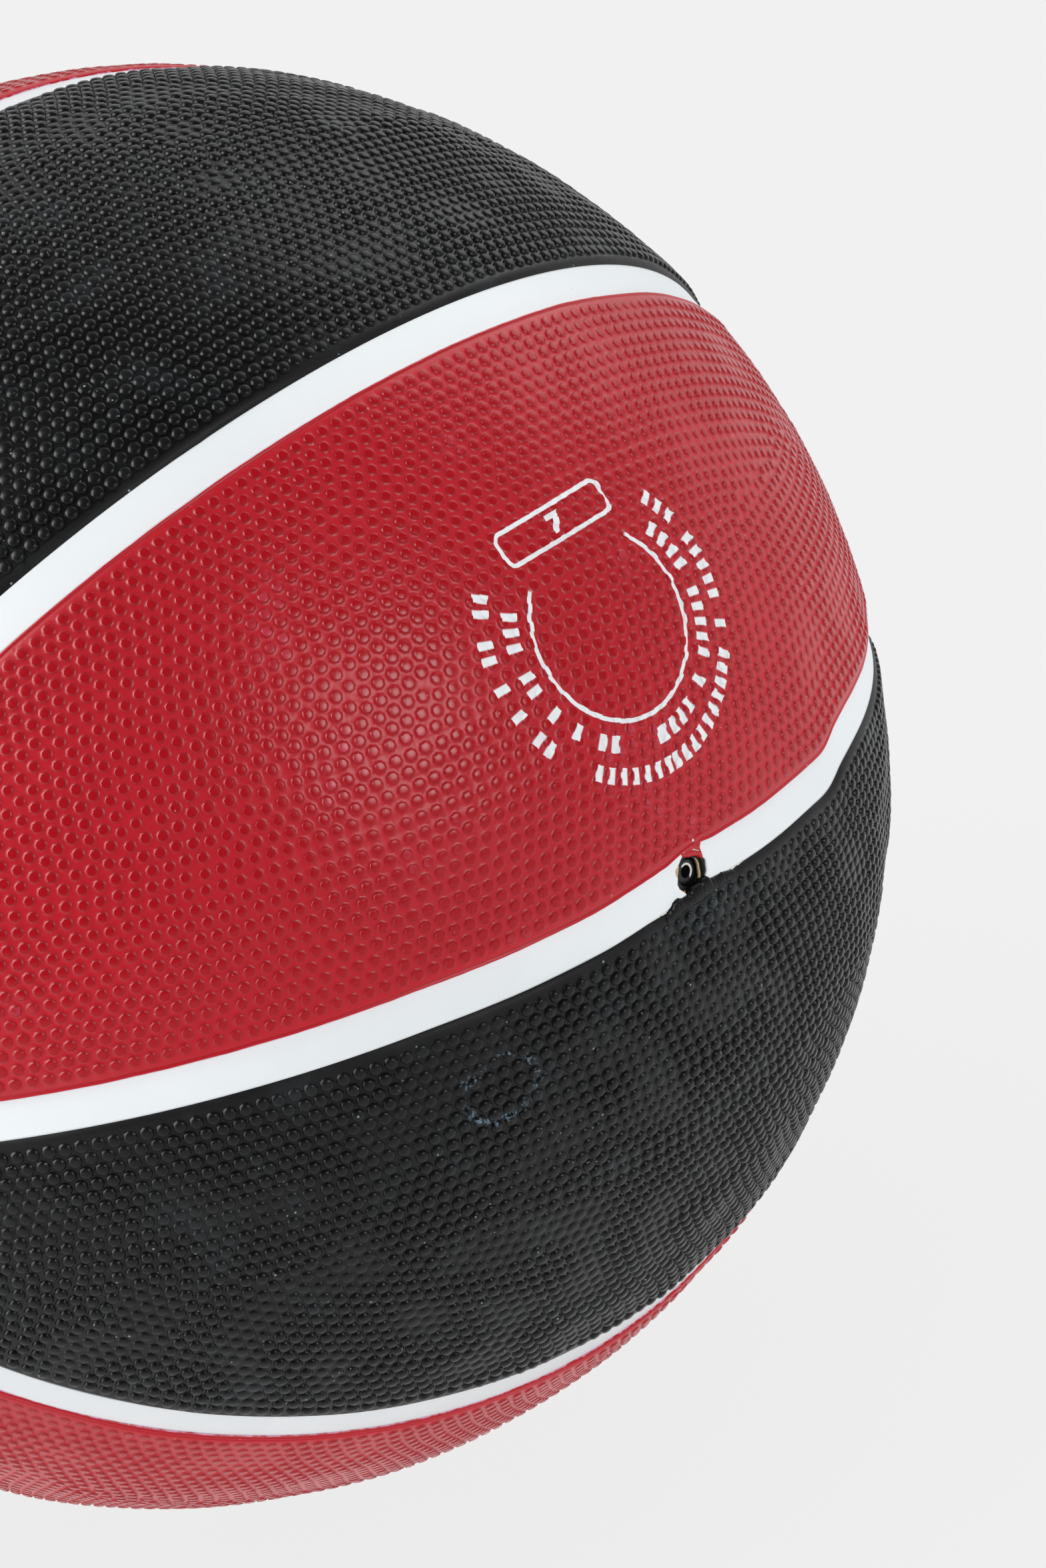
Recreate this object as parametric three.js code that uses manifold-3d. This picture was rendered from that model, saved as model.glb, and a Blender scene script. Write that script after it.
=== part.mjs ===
// A size 7 basketball. A butyl bladder with its valve is wound with nylon thread and lies inside a rubber
// carcass of two halves. Eight cover panels lie on the carcass, with a rubber strip in each seam between.
// Millimetres, +Z up. The origin is the ball's centre, and +X leaves the ball through the valve.
import * as THREE from 'three';
import { mergeVertices } from 'three/addons/utils/BufferGeometryUtils.js';
import Module from 'manifold-3d';

const wasm = await Module();
wasm.setup();

// The ball and its layers
const BALL_DIAMETER = 239;
const COVER_THICKNESS = 1.7;
const STRIP_THICKNESS = 0.55;
const CARCASS_THICKNESS = 0.8;
const WINDING_THICKNESS = 0.4;
const BLADDER_THICKNESS = 0.7;
const CLEARANCE = 0.3;

// The seams. Lengths lie on the ball's surface
const SEAM_WIDTH = 6.35;
const SEAM_NECK = 33;      // along the equator seam, from the crown seam to the side seam
const SEAM_BEND = 4;       // an exponent: a larger one turns the side seams more tightly at the neck
const VALVE_OFFSET = 6.2;  // along the equator seam, from the middle of the valve panels to the valve

// The valve
const CORE_DIAMETER = 4;
const CORE_RECESS = 0.4;
const NEEDLE_HOLE_DIAMETER = 1.9;
const NEEDLE_HOLE_DEPTH = 3;
const VALVE_WALL = 0.9;
const VALVE_SINK = 1;      // from the equator strip's face down to the valve's
const VALVE_REACH = 14;    // from the bladder's wall inwards
const VALVE_HOLE_CLEARANCE = 0.5;
const FLANGE_DIAMETER = 28;
const FLANGE_THICKNESS = 1;

// Facets
const PANEL_STEPS_ALONG = 24;
const PANEL_STEPS_ACROSS = 5;
const RING_STEPS = 60;
const SHELL_DETAIL = 5;
const ROUND_STEPS = 24;
const FLANGE_STEPS = 4;
const SEAM_SAMPLES = 240;

// Sizes that follow
const ballRadius = BALL_DIAMETER / 2;
const panelInner = ballRadius - COVER_THICKNESS;
const stripOuter = panelInner + STRIP_THICKNESS;
const stripEdge = SEAM_WIDTH / 2 / ballRadius;
const panelEdge = stripEdge + CLEARANCE / ballRadius;
const neck = Math.sin(SEAM_NECK / ballRadius);
const valveTurn = VALVE_OFFSET / ballRadius;

const panelStep = Math.PI / PANEL_STEPS_ALONG;
const panelDip = panelInner * (1 - Math.cos(panelStep));
const carcassOuter = panelInner - panelDip - CLEARANCE;
const windingOuter = carcassOuter - CARCASS_THICKNESS - CLEARANCE;
const bladderOuter = windingOuter - WINDING_THICKNESS - CLEARANCE;
const bladderInner = bladderOuter - BLADDER_THICKNESS;
const shellStep = Math.atan(2) / (SHELL_DETAIL + 1) / Math.sqrt(3);
const flangeOuter = bladderInner * Math.cos(shellStep) - CLEARANCE;

const coreRadius = CORE_DIAMETER / 2;
const boreRadius = coreRadius + CLEARANCE;
const neckRadius = boreRadius + VALVE_WALL;
const holeRadius = neckRadius + VALVE_HOLE_CLEARANCE;
const valveFace = stripOuter - VALVE_SINK;
const valveEnd = bladderInner - VALVE_REACH;

const finishes = {
  red: { color: 0xa3222f, roughness: 0.55 },
  black: { color: 0x2f2d2d, roughness: 0.6 },
  white: { color: 0xe6eaec, roughness: 0.5 },
  tan: { color: 0xb08d62, roughness: 0.8 },
  thread: { color: 0xd9d5c6, roughness: 0.7 },
  butyl: { color: 0x1d1c1c, roughness: 0.45 },
  valve: { color: 0x161515, roughness: 0.5 },
};

function named(name, finish, geometry) {
  const mesh = new THREE.Mesh(geometry, new THREE.MeshStandardMaterial({ ...finishes[finish], metalness: 0 }));
  mesh.name = name;
  return mesh;
}

// Closed meshes

function welded(geometry) {
  const bare = geometry.clone();
  bare.deleteAttribute('normal');
  bare.deleteAttribute('uv');
  const merged = mergeVertices(bare);
  const corners = merged.index.array;
  const kept = [];
  for (let i = 0; i < corners.length; i += 3) {
    const [a, b, c] = [corners[i], corners[i + 1], corners[i + 2]];
    if (a !== b && b !== c && c !== a) kept.push(a, b, c);
  }
  merged.setIndex(kept);
  return merged;
}

function signedVolume(geometry) {
  const place = geometry.attributes.position;
  const corners = geometry.index.array;
  const [a, b, c] = [new THREE.Vector3(), new THREE.Vector3(), new THREE.Vector3()];
  let sixfold = 0;
  for (let i = 0; i < corners.length; i += 3) {
    a.fromBufferAttribute(place, corners[i]);
    b.fromBufferAttribute(place, corners[i + 1]);
    c.fromBufferAttribute(place, corners[i + 2]);
    sixfold += a.dot(b.cross(c));
  }
  return sixfold / 6;
}

function facingOut(geometry) {
  const closed = welded(geometry);
  if (signedVolume(closed) < 0) closed.setIndex(Array.from(closed.index.array).reverse());
  closed.computeVertexNormals();
  return closed;
}

function toSolid(geometry) {
  const closed = facingOut(geometry);
  return new wasm.Manifold(new wasm.Mesh({
    numProp: 3,
    vertProperties: new Float32Array(closed.attributes.position.array),
    triVerts: new Uint32Array(closed.index.array),
  }));
}

function toGeometry(solid) {
  const { vertProperties, triVerts } = solid.getMesh();
  const geometry = new THREE.BufferGeometry();
  geometry.setAttribute('position', new THREE.BufferAttribute(vertProperties, 3));
  geometry.setIndex(new THREE.BufferAttribute(triVerts, 1));
  geometry.computeVertexNormals();
  return geometry;
}

// A plate of even thickness on the ball. rows is a grid of directions from the ball's centre, and a ring
// is a grid whose last row meets its first.
function curvedPlate(rows, outerRadius, innerRadius, ring = false) {
  const [along, across] = [rows.length, rows[0].length];
  const places = [];
  for (const radius of [outerRadius, innerRadius]) {
    for (const direction of rows.flat()) places.push(...direction.clone().multiplyScalar(radius));
  }
  const corners = [];
  const at = (layer, i, j) => (layer * along + (ring ? i % along : i)) * across + j;
  const quad = (a, b, c, d) => corners.push(a, b, c, a, c, d);
  const steps = ring ? along : along - 1;
  const lastColumn = across - 1;
  for (let i = 0; i < steps; i++) {
    for (let j = 0; j < lastColumn; j++) {
      quad(at(0, i, j), at(0, i + 1, j), at(0, i + 1, j + 1), at(0, i, j + 1));
      quad(at(1, i, j), at(1, i, j + 1), at(1, i + 1, j + 1), at(1, i + 1, j));
    }
    quad(at(0, i + 1, 0), at(0, i, 0), at(1, i, 0), at(1, i + 1, 0));
    quad(at(0, i, lastColumn), at(0, i + 1, lastColumn), at(1, i + 1, lastColumn), at(1, i, lastColumn));
  }
  for (let j = 0; j < lastColumn && !ring; j++) {
    quad(at(0, 0, j), at(0, 0, j + 1), at(1, 0, j + 1), at(1, 0, j));
    quad(at(0, steps, j + 1), at(0, steps, j), at(1, steps, j), at(1, steps, j + 1));
  }
  const geometry = new THREE.BufferGeometry();
  geometry.setAttribute('position', new THREE.Float32BufferAttribute(places, 3));
  geometry.setIndex(corners);
  return facingOut(geometry);
}

// The seams' lines, as directions from the ball's centre. The equator seam is the circle z = 0 and the
// crown seam the circle x = 0. A side seam runs round the X axis, at x^n = z^n + neck^n.

function solve(low, high, isBelow) {
  for (let i = 0; i < 48; i++) {
    const middle = (low + high) / 2;
    if (isBelow(middle)) low = middle;
    else high = middle;
  }
  return (low + high) / 2;
}

// turn is the angle about the X axis, from +Y towards +Z
function sideSeam(turn) {
  const lift = (x) => Math.sqrt(1 - x * x) * Math.abs(Math.sin(turn));
  const x = solve(neck, 1, (guess) => guess ** SEAM_BEND < lift(guess) ** SEAM_BEND + neck ** SEAM_BEND);
  const rest = Math.sqrt(1 - x * x);
  return new THREE.Vector3(x, rest * Math.cos(turn), rest * Math.sin(turn));
}

// inwards is an angle from the side seam's line towards the X axis
function besideSideSeam(turn, inwards) {
  const step = 1e-3;
  const here = sideSeam(turn);
  const along = sideSeam(turn + step).sub(sideSeam(turn - step));
  const across = here.clone().cross(along).normalize();
  return here.multiplyScalar(Math.cos(inwards)).addScaledVector(across, Math.sin(inwards)).normalize();
}

// Points evenly spaced beside a side seam, from the equator seam over the top to the equator seam again
function sideEdge(inwards, steps) {
  const height = Math.sin(panelEdge);
  const first = solve(0, Math.PI / 2, (turn) => besideSideSeam(turn, inwards).z < height);
  const sample = (i) => besideSideSeam(first + (Math.PI - 2 * first) * i / SEAM_SAMPLES, inwards);
  const line = new THREE.CatmullRomCurve3(Array.from({ length: SEAM_SAMPLES + 1 }, (_, i) => sample(i)));
  line.arcLengthDivisions = SEAM_SAMPLES * 4;
  return line.getSpacedPoints(steps).map((point) => point.normalize());
}

// A line beside the crown seam, shift being its angle from the seam, from equator to equator
function crownEdge(shift, steps) {
  const first = Math.asin(Math.sin(panelEdge) / Math.cos(shift));
  return Array.from({ length: steps + 1 }, (_, i) => {
    const turn = first + (Math.PI - 2 * first) * i / steps;
    const rest = Math.cos(shift);
    return new THREE.Vector3(Math.sin(shift), rest * Math.cos(turn), rest * Math.sin(turn));
  });
}

// A line above the equator seam, lift being its angle from the seam, between two angles about Z
function equatorEdge(lift, from, to, steps) {
  return Array.from({ length: steps + 1 }, (_, i) => {
    const turn = from + (to - from) * i / steps;
    const rest = Math.cos(lift);
    return new THREE.Vector3(rest * Math.cos(turn), rest * Math.sin(turn), Math.sin(lift));
  });
}

function between(a, b, share) {
  const angle = a.angleTo(b);
  if (angle < 1e-9) return a.clone();
  const [fromA, fromB] = [Math.sin((1 - share) * angle), Math.sin(share * angle)];
  return a.clone().multiplyScalar(fromA).addScaledVector(b, fromB).normalize();
}

function gridBetween(edgeA, edgeB, steps) {
  return edgeA.map((a, i) => Array.from({ length: steps + 1 }, (_, j) => between(a, edgeB[i], j / steps)));
}

function mirrored(rows, signX, signZ) {
  return rows.map((row) => row.map(({ x, y, z }) => new THREE.Vector3(x * signX, y, z * signZ)));
}

// Cover panels and seam strips, each drawn above the equator on the valve's side

function ovalRows() {
  const side = sideEdge(panelEdge, PANEL_STEPS_ALONG);
  const corner = Math.atan2(side[0].y, side[0].x);
  const equator = equatorEdge(panelEdge, corner, -corner, PANEL_STEPS_ALONG);
  return gridBetween(equator, side, PANEL_STEPS_ACROSS);
}

function crescentRows() {
  const crown = crownEdge(panelEdge, PANEL_STEPS_ALONG);
  const side = sideEdge(-panelEdge, PANEL_STEPS_ALONG);
  return gridBetween(crown, side, PANEL_STEPS_ACROSS);
}

function sideStripRows() {
  return gridBetween(sideEdge(stripEdge, PANEL_STEPS_ALONG), sideEdge(-stripEdge, PANEL_STEPS_ALONG), 1);
}

function crownStripRows() {
  return gridBetween(crownEdge(stripEdge, PANEL_STEPS_ALONG), crownEdge(-stripEdge, PANEL_STEPS_ALONG), 1);
}

function equatorStripRows() {
  const ring = (lift) => equatorEdge(lift, 0, 2 * Math.PI, RING_STEPS).slice(0, RING_STEPS);
  return gridBetween(ring(stripEdge), ring(-stripEdge), 1);
}

function panel(rows, signX, signZ) {
  return curvedPlate(mirrored(rows, signX, signZ), ballRadius, panelInner);
}

function strip(rows, signX, signZ) {
  return curvedPlate(mirrored(rows, signX, signZ), stripOuter, panelInner);
}

// The hole that the valve stands in, as a solid that runs from inside the bladder to outside the ball
function valveHole(turn = 0) {
  const length = ballRadius;
  const hole = new THREE.CylinderGeometry(holeRadius, holeRadius, length, ROUND_STEPS);
  hole.rotateZ(-Math.PI / 2);
  hole.translate(valveEnd + length / 2, 0, 0);
  hole.rotateZ(turn);
  return toSolid(hole);
}

function holed(geometry) {
  return toGeometry(toSolid(geometry).subtract(valveHole(valveTurn)));
}

function seamPieces() {
  const pieces = new THREE.Group();
  pieces.rotation.z = -valveTurn;
  const [ovals, crescents] = [ovalRows(), crescentRows()];
  const [sides, crown] = [sideStripRows(), crownStripRows()];
  pieces.add(
    named('valve_panel_upper', 'red', holed(panel(ovals, 1, 1))),
    named('valve_panel_lower', 'black', holed(panel(ovals, 1, -1))),
    named('rear_panel_upper', 'black', panel(ovals, -1, 1)),
    named('rear_panel_lower', 'red', panel(ovals, -1, -1)),
    named('top_panel_front', 'black', panel(crescents, 1, 1)),
    named('top_panel_rear', 'red', panel(crescents, -1, 1)),
    named('bottom_panel_front', 'red', panel(crescents, 1, -1)),
    named('bottom_panel_rear', 'black', panel(crescents, -1, -1)),
    named('equator_strip', 'white', holed(curvedPlate(equatorStripRows(), stripOuter, panelInner, true))),
    named('crown_strip', 'white', strip(crown, 1, 1)),
    named('base_strip', 'white', strip(crown, 1, -1)),
    named('valve_side_strip_upper', 'white', strip(sides, 1, 1)),
    named('valve_side_strip_lower', 'white', strip(sides, 1, -1)),
    named('rear_side_strip_upper', 'white', strip(sides, -1, 1)),
    named('rear_side_strip_lower', 'white', strip(sides, -1, -1)),
  );
  return pieces;
}

// Inner layers

function shell(outerRadius, thickness) {
  const ball = (radius) => toSolid(new THREE.IcosahedronGeometry(radius, SHELL_DETAIL));
  return ball(outerRadius).subtract(ball(outerRadius - thickness)).subtract(valveHole());
}

// The half of the carcass on one side of the equator, sign being 1 above it and -1 below
function carcassHalf(sign) {
  const half = new THREE.BoxGeometry(2 * BALL_DIAMETER, 2 * BALL_DIAMETER, BALL_DIAMETER);
  half.translate(0, 0, sign * (BALL_DIAMETER + CLEARANCE) / 2);
  return toGeometry(shell(carcassOuter, CARCASS_THICKNESS).intersect(toSolid(half)));
}

function innerLayers() {
  const layers = new THREE.Group();
  layers.add(
    named('carcass_upper', 'tan', carcassHalf(1)),
    named('carcass_lower', 'tan', carcassHalf(-1)),
    named('thread_winding', 'thread', toGeometry(shell(windingOuter, WINDING_THICKNESS))),
    named('bladder', 'butyl', toGeometry(shell(bladderOuter, BLADDER_THICKNESS))),
  );
  return layers;
}

// The valve, turned about its own axis and then laid along +X

function turned(profile) {
  const points = profile.map(([radius, height]) => new THREE.Vector2(radius, height));
  const geometry = new THREE.LatheGeometry(points, ROUND_STEPS);
  geometry.rotateZ(-Math.PI / 2);
  return facingOut(geometry);
}

// Points of a flange's face, which lies on a sphere about the ball's centre
function flangeFace(sphereRadius, fromRadius, toRadius) {
  return Array.from({ length: FLANGE_STEPS + 1 }, (_, i) => {
    const radius = fromRadius + (toRadius - fromRadius) * i / FLANGE_STEPS;
    return [radius, Math.sqrt(sphereRadius ** 2 - radius ** 2)];
  });
}

function valveBody() {
  const flangeRadius = FLANGE_DIAMETER / 2;
  return turned([
    [boreRadius, valveEnd],
    [boreRadius, valveFace],
    [neckRadius, valveFace],
    ...flangeFace(flangeOuter, neckRadius, flangeRadius),
    ...flangeFace(flangeOuter - FLANGE_THICKNESS, flangeRadius, neckRadius),
    [neckRadius, valveEnd],
    [boreRadius, valveEnd],
  ]);
}

function valveCore() {
  const face = valveFace - CORE_RECESS;
  const needleRadius = NEEDLE_HOLE_DIAMETER / 2;
  return turned([
    [0, valveEnd],
    [coreRadius, valveEnd],
    [coreRadius, face],
    [needleRadius, face],
    [needleRadius, face - NEEDLE_HOLE_DEPTH],
    [0, face - NEEDLE_HOLE_DEPTH - needleRadius],
  ]);
}

const basketball = new THREE.Group();
basketball.add(
  seamPieces(),
  innerLayers(),
  named('valve_body', 'valve', valveBody()),
  named('valve_core', 'valve', valveCore()),
);

export default basketball;
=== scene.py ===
"""The looks of a size 7 rubber basketball: pebbled cover panels, seam strips, the valve and the layers inside.

The frame is the part's own: the origin is the ball's centre, +X leaves the ball through the valve and +Z is
square to the equator seam. Lengths here are millimetres, and become metres when a mesh is made.
"""
import math

import bmesh
import bpy
import numpy as np
from mathutils import Matrix, Vector
from mathutils.geometry import delaunay_2d_cdt
from mathutils.kdtree import KDTree


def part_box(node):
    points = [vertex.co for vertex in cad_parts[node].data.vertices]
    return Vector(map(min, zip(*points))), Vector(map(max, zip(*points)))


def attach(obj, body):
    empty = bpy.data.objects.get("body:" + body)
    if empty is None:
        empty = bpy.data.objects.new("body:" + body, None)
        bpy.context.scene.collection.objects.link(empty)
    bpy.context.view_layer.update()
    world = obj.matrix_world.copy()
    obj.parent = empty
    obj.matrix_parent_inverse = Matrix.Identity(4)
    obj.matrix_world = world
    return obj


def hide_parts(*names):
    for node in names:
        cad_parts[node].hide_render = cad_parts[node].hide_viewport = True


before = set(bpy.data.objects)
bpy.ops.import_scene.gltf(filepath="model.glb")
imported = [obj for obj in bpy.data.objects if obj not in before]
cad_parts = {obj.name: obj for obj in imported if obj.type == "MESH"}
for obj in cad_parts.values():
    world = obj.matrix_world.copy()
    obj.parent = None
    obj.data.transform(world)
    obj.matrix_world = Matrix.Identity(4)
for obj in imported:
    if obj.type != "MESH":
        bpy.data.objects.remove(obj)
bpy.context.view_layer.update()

METRES = 0.001
WELD_DISTANCE = 0.001
UP = np.array([0.0, 0.0, 1.0])

# The ball and its seams
BALL_RADIUS = 119.5
COVER_THICKNESS = 1.7
SEAM_WIDTH = 6.35
SEAM_NECK = 33
VALVE_OFFSET = 6.2
STRIP_DEPTH = 1.15
STRIP_OVERLAP = 0.15  # how far a strip runs under the panels' rims
CORNER_RADIUS = 3
OUTLINE_SPACING = 0.8

# The equator seam's sag near the valve: degrees round the ball from the valve, and millimetres down
SAG = ((-24, 0), (-17, 0.4), (-9, 0.5), (-3.5, -0.1), (3, -0.1), (8, 0.7), (11, 1.0), (15, 1.3), (18.6, 1.9),
       (20.3, 1.45), (21.3, 0.8), (22.4, 0.4), (26, 0))
SAG_ROUNDING = (-0.9, -0.3, 0.3, 0.9)  # degrees over which the table's corners are rounded
SAG_FADE = (5, 22)  # distances from the equator between which the sag dies out

# The valve
CORE_RADIUS = 2
NEEDLE_RADIUS = 0.95
NEEDLE_DEPTH = 3
VALVE_FACE = 117.35
CORE_FACE = 116.95
HOLE_RADIUS = 3.35
PARTING = 0.7  # how far the panels' rims give way to the valve
PARTING_WIDTH = 2.4

# Pebbles and rims. first is the first row's distance from the strip, rings are shares of a pebble's radius and
# height, and sharp is the number of the ring that is creased. A rim runs from the strip inwards over the panel:
# distance from the strip, and depth below the pebbles' tops
STYLES = {
    "red": dict(pitch=2.57, first=2.6, radius=1.36, height=0.48, jitter=0.05,
                rings=((0.58, 0.77), (0.73, 0.25), (1.0, 0.0)), sharp=0,
                rim=((0.0, 1.3), (0.08, 0.9), (0.22, 0.59), (0.42, 0.52), (0.6, 0.64), (0.75, 0.74), (0.9, 0.56),
                     (1.12, 0.48))),
    "black": dict(pitch=2.5, first=2.95, radius=1.17, height=0.6, jitter=0.045,
                  rings=((0.54, 0.96), (0.83, 0.68), (1.0, 0.0)), sharp=2,
                  rim=((0.0, 1.3), (0.2, 1.12), (0.45, 0.94), (0.8, 0.76), (1.2, 0.64), (1.65, 0.6))),
}
RING_POINTS = 8
FACE_INSET = 3.0  # stands for any distance from the strip beyond the rim
RADIUS_SPREAD = (0.95, 1.05)
HEIGHT_SPREAD = (0.9, 1.0)
WIDEST = 0.49  # a pebble's radius against the distance to its nearest neighbour
WEAR = 0.45  # the share of its height that a worn pebble loses
WEAR_PATCH = 17
EDGE_WAVES = ((0.025, 9), (0.015, 2.5))  # heights and lengths of the waves along a panel's edge
FACE_WAVE = (0.09, 34)  # and of those over its face

# Panels: node, shape, colour, and the signs that mirror the shape from the quarter of +X and +Z
PANELS = (
    ("valve_panel_upper", "oval", "red", 1, 1),
    ("valve_panel_lower", "oval", "black", 1, -1),
    ("rear_panel_upper", "oval", "black", -1, 1),
    ("rear_panel_lower", "oval", "red", -1, -1),
    ("top_panel_front", "crescent", "black", 1, 1),
    ("top_panel_rear", "crescent", "red", -1, 1),
    ("bottom_panel_front", "crescent", "red", 1, -1),
    ("bottom_panel_rear", "crescent", "black", -1, -1),
)

# The photograph's camera. Pixels are those of the whole photograph
PHOTO_SIZE = (1568, 2350)
FOCAL_PIXELS = 7740
BALL_CENTRE_PIXEL = (258.9, 1177.6)
CAMERA_DISTANCE = 863.1
CAMERA_AZIMUTH = math.radians(48.65)
CAMERA_ELEVATION = math.radians(22.05)
CAMERA_ROLL = math.radians(-14.25)
SENSOR_WIDTH = 36

LINE_POINTS = 4000  # points on a seam line before it is resampled
CAP_POINTS = 400  # and on a crescent's short ends

half_seam = SEAM_WIDTH / 2
base_inset = half_seam + CORNER_RADIUS
half_strip = half_seam + STRIP_OVERLAP
valve_turn = VALVE_OFFSET / BALL_RADIUS


# Directions on the ball

def unit(vectors):
    return vectors / np.linalg.norm(vectors, axis=-1, keepdims=True)


def to_part(directions):
    """Turns the seam pattern's frame into the part's, whose +X runs through the valve."""
    c, s = math.cos(valve_turn), math.sin(valve_turn)
    return directions @ np.array([[c, -s, 0], [s, c, 0], [0, 0, 1]])


def circle(angles):
    """Directions at angles round Z, from +X towards +Y."""
    return np.stack([np.cos(angles), np.sin(angles), 0 * angles], -1)


def level_axes(middle):
    """Unit vectors along and up the ball's surface at a middle direction."""
    along = unit(np.cross(UP, middle))
    return along, np.cross(middle, along)


def tangents(directions):
    """Two unit vectors square to each direction and to each other."""
    helper = np.where(np.abs(directions[:, 2:]) < 0.9, UP, [1.0, 0.0, 0.0])
    first = unit(np.cross(helper, directions))
    return first, np.cross(directions, first)


def offset(directions, towards, length):
    """Moves each direction along the ball's surface by a length, towards a unit tangent."""
    angle = np.asarray(length)[..., None] / BALL_RADIUS
    return np.cos(angle) * directions + np.sin(angle) * towards


def waves(directions, wavelength, seed, count=24):
    """Smooth noise of about unit height: a sum of plane waves with seeded directions and phases."""
    rng = np.random.default_rng(seed)
    rates = 2 * np.pi * BALL_RADIUS / wavelength * rng.uniform(0.7, 1.4, (count, 1))
    axes = unit(rng.normal(size=(count, 3))) * rates
    return np.sin(directions @ axes.T + rng.uniform(0, 2 * np.pi, count)).sum(1) / math.sqrt(count / 2)


def smooth(values, low, high):
    """0 below low and 1 above high, smooth between."""
    share = np.clip((values - low) / (high - low), 0, 1)
    return share * share * (3 - 2 * share)


def at_radius_of(moved, points):
    """Moved points, brought back to the distances that the points had from the ball's centre."""
    return moved * (np.linalg.norm(points, axis=-1) / np.linalg.norm(moved, axis=-1))[..., None]


def sag_at(angles):
    """The sag at angles round the ball, with the table's corners rounded."""
    degrees, drops = zip(*SAG)
    shifted = [np.interp(np.degrees(angles) + shift, degrees, drops) for shift in SAG_ROUNDING]
    return sum(shifted) / len(SAG_ROUNDING)


def sagged(points):
    """Moves points near the equator down, as far as its seam sags there."""
    drop = sag_at(np.arctan2(points[..., 1], points[..., 0])) * (1 - smooth(np.abs(points[..., 2]), *SAG_FADE))
    return at_radius_of(points - drop[..., None] * UP, points)


def parted(points):
    """Moves points near the valve away from its axis."""
    away = np.hypot(points[:, 1], points[:, 2])
    push = PARTING * np.exp(-((away - half_seam) / PARTING_WIDTH) ** 2) / np.maximum(away, 1)
    return at_radius_of(points + push[:, None] * points * [0, 1, 1], points)


# Seam lines. Each gives points on the line and the unit tangents across it

def equator_line(angles):
    return circle(angles), np.tile(UP, (len(angles), 1))


def crown_line(turns):
    centre = np.stack([0 * turns, np.cos(turns), np.sin(turns)], 1)
    return centre, np.tile([1.0, 0.0, 0.0], (len(turns), 1))


def side_seam(turns):
    """The side seam round +X, where x^4 = z^4 + neck^4. turns are angles about X, from +Y towards +Z."""
    neck = math.sin(SEAM_NECK / BALL_RADIUS) ** 4
    lift = np.sin(turns) ** 4
    square = (lift + neck) / (lift + np.sqrt(lift ** 2 + (1 - lift) * (lift + neck)))
    rest = np.sqrt(1 - square)
    return np.stack([np.sqrt(square), rest * np.cos(turns), rest * np.sin(turns)], 1)


def side_line(turns):
    """The side seam, and the tangents that point from it towards +X."""
    step = 1e-4
    centre = side_seam(turns)
    along = side_seam(turns + step) - side_seam(turns - step)
    return centre, unit(np.cross(centre, along))


# A panel's outline. Its base line lies a corner's radius inside the panel's edge, and every row of the rim
# is the base line moved outwards, so the corners come out round.

def base_of(line, inwards):
    """A panel's base line beside a seam, and the unit tangents from it out to the seam."""
    centre, across = line
    lengths = np.full(len(centre), base_inset)
    base = offset(centre, across * inwards, lengths)
    return base, -offset(across * inwards, -centre, lengths)


def start_of_side(inwards):
    """The turn where a panel's base line beside the side seam meets the one above the equator."""
    turns = np.linspace(0, np.pi / 2, LINE_POINTS)
    base, _ = base_of(side_line(turns), inwards)
    return float(np.interp(math.sin(base_inset / BALL_RADIUS), base[:, 2], turns))


def about_z(direction):
    return math.atan2(direction[1], direction[0])


def side_stretch(inwards):
    first = start_of_side(inwards)
    return base_of(side_line(np.linspace(np.pi - first, first, LINE_POINTS)), inwards)


def equator_stretch(first, last, count):
    return base_of(equator_line(np.linspace(first, last, count)), 1)


def oval_stretches():
    side = side_stretch(1)
    corner = about_z(side[0][-1])
    return [equator_stretch(corner, -corner, LINE_POINTS), side]


def crescent_stretches():
    side = side_stretch(-1)
    first = math.asin(math.tan(base_inset / BALL_RADIUS))
    crown = base_of(crown_line(np.linspace(first, np.pi - first, LINE_POINTS)), 1)
    left, right = about_z(crown[0][-1]), about_z(side[0][0])
    return [crown, equator_stretch(left, right, CAP_POINTS), side, equator_stretch(-right, -left, CAP_POINTS)]


def resampled(points, spacing, closed=False, phase=0.0):
    """Points evenly spaced along a polyline of directions, and any columns that follow them."""
    line = np.vstack([points, points[:1]]) if closed else points
    steps = np.linalg.norm(np.diff(line[:, :3], axis=0), axis=1) * BALL_RADIUS
    reach = np.append(0, np.cumsum(steps))
    count = max(2, round(reach[-1] / spacing))
    places = (np.arange(count) + phase) * reach[-1] / count if closed else np.linspace(0, reach[-1], count + 1)
    return np.stack([np.interp(places, reach, column) for column in line.T], 1)


def outline(stretches):
    """The base line all round a panel and the outward tangent at each of its points."""
    rows = []
    lines = [resampled(np.hstack(stretch), OUTLINE_SPACING) for stretch in stretches]
    corner_steps = np.linspace(0, 1, 9)[1:-1, None]
    for line, following in zip(lines, lines[1:] + lines[:1]):
        rows.append(line)
        here, before, after = line[-1, :3], line[-1, 3:], following[0, 3:]
        swing = math.acos(np.clip(before @ after, -1, 1))
        arc = np.sin((1 - corner_steps) * swing) * before + np.sin(corner_steps * swing) * after
        rows.append(np.hstack([np.tile(here, (len(arc), 1)), arc / math.sin(swing)]))
    both = np.vstack(rows)
    return unit(both[:, :3]), unit(both[:, 3:])


def rim_row(edge, inset):
    """A panel's edge, moved inwards by an inset."""
    base, out = edge
    return offset(base, out, CORNER_RADIUS - inset * np.ones(len(base)))


# Pebbles

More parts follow.
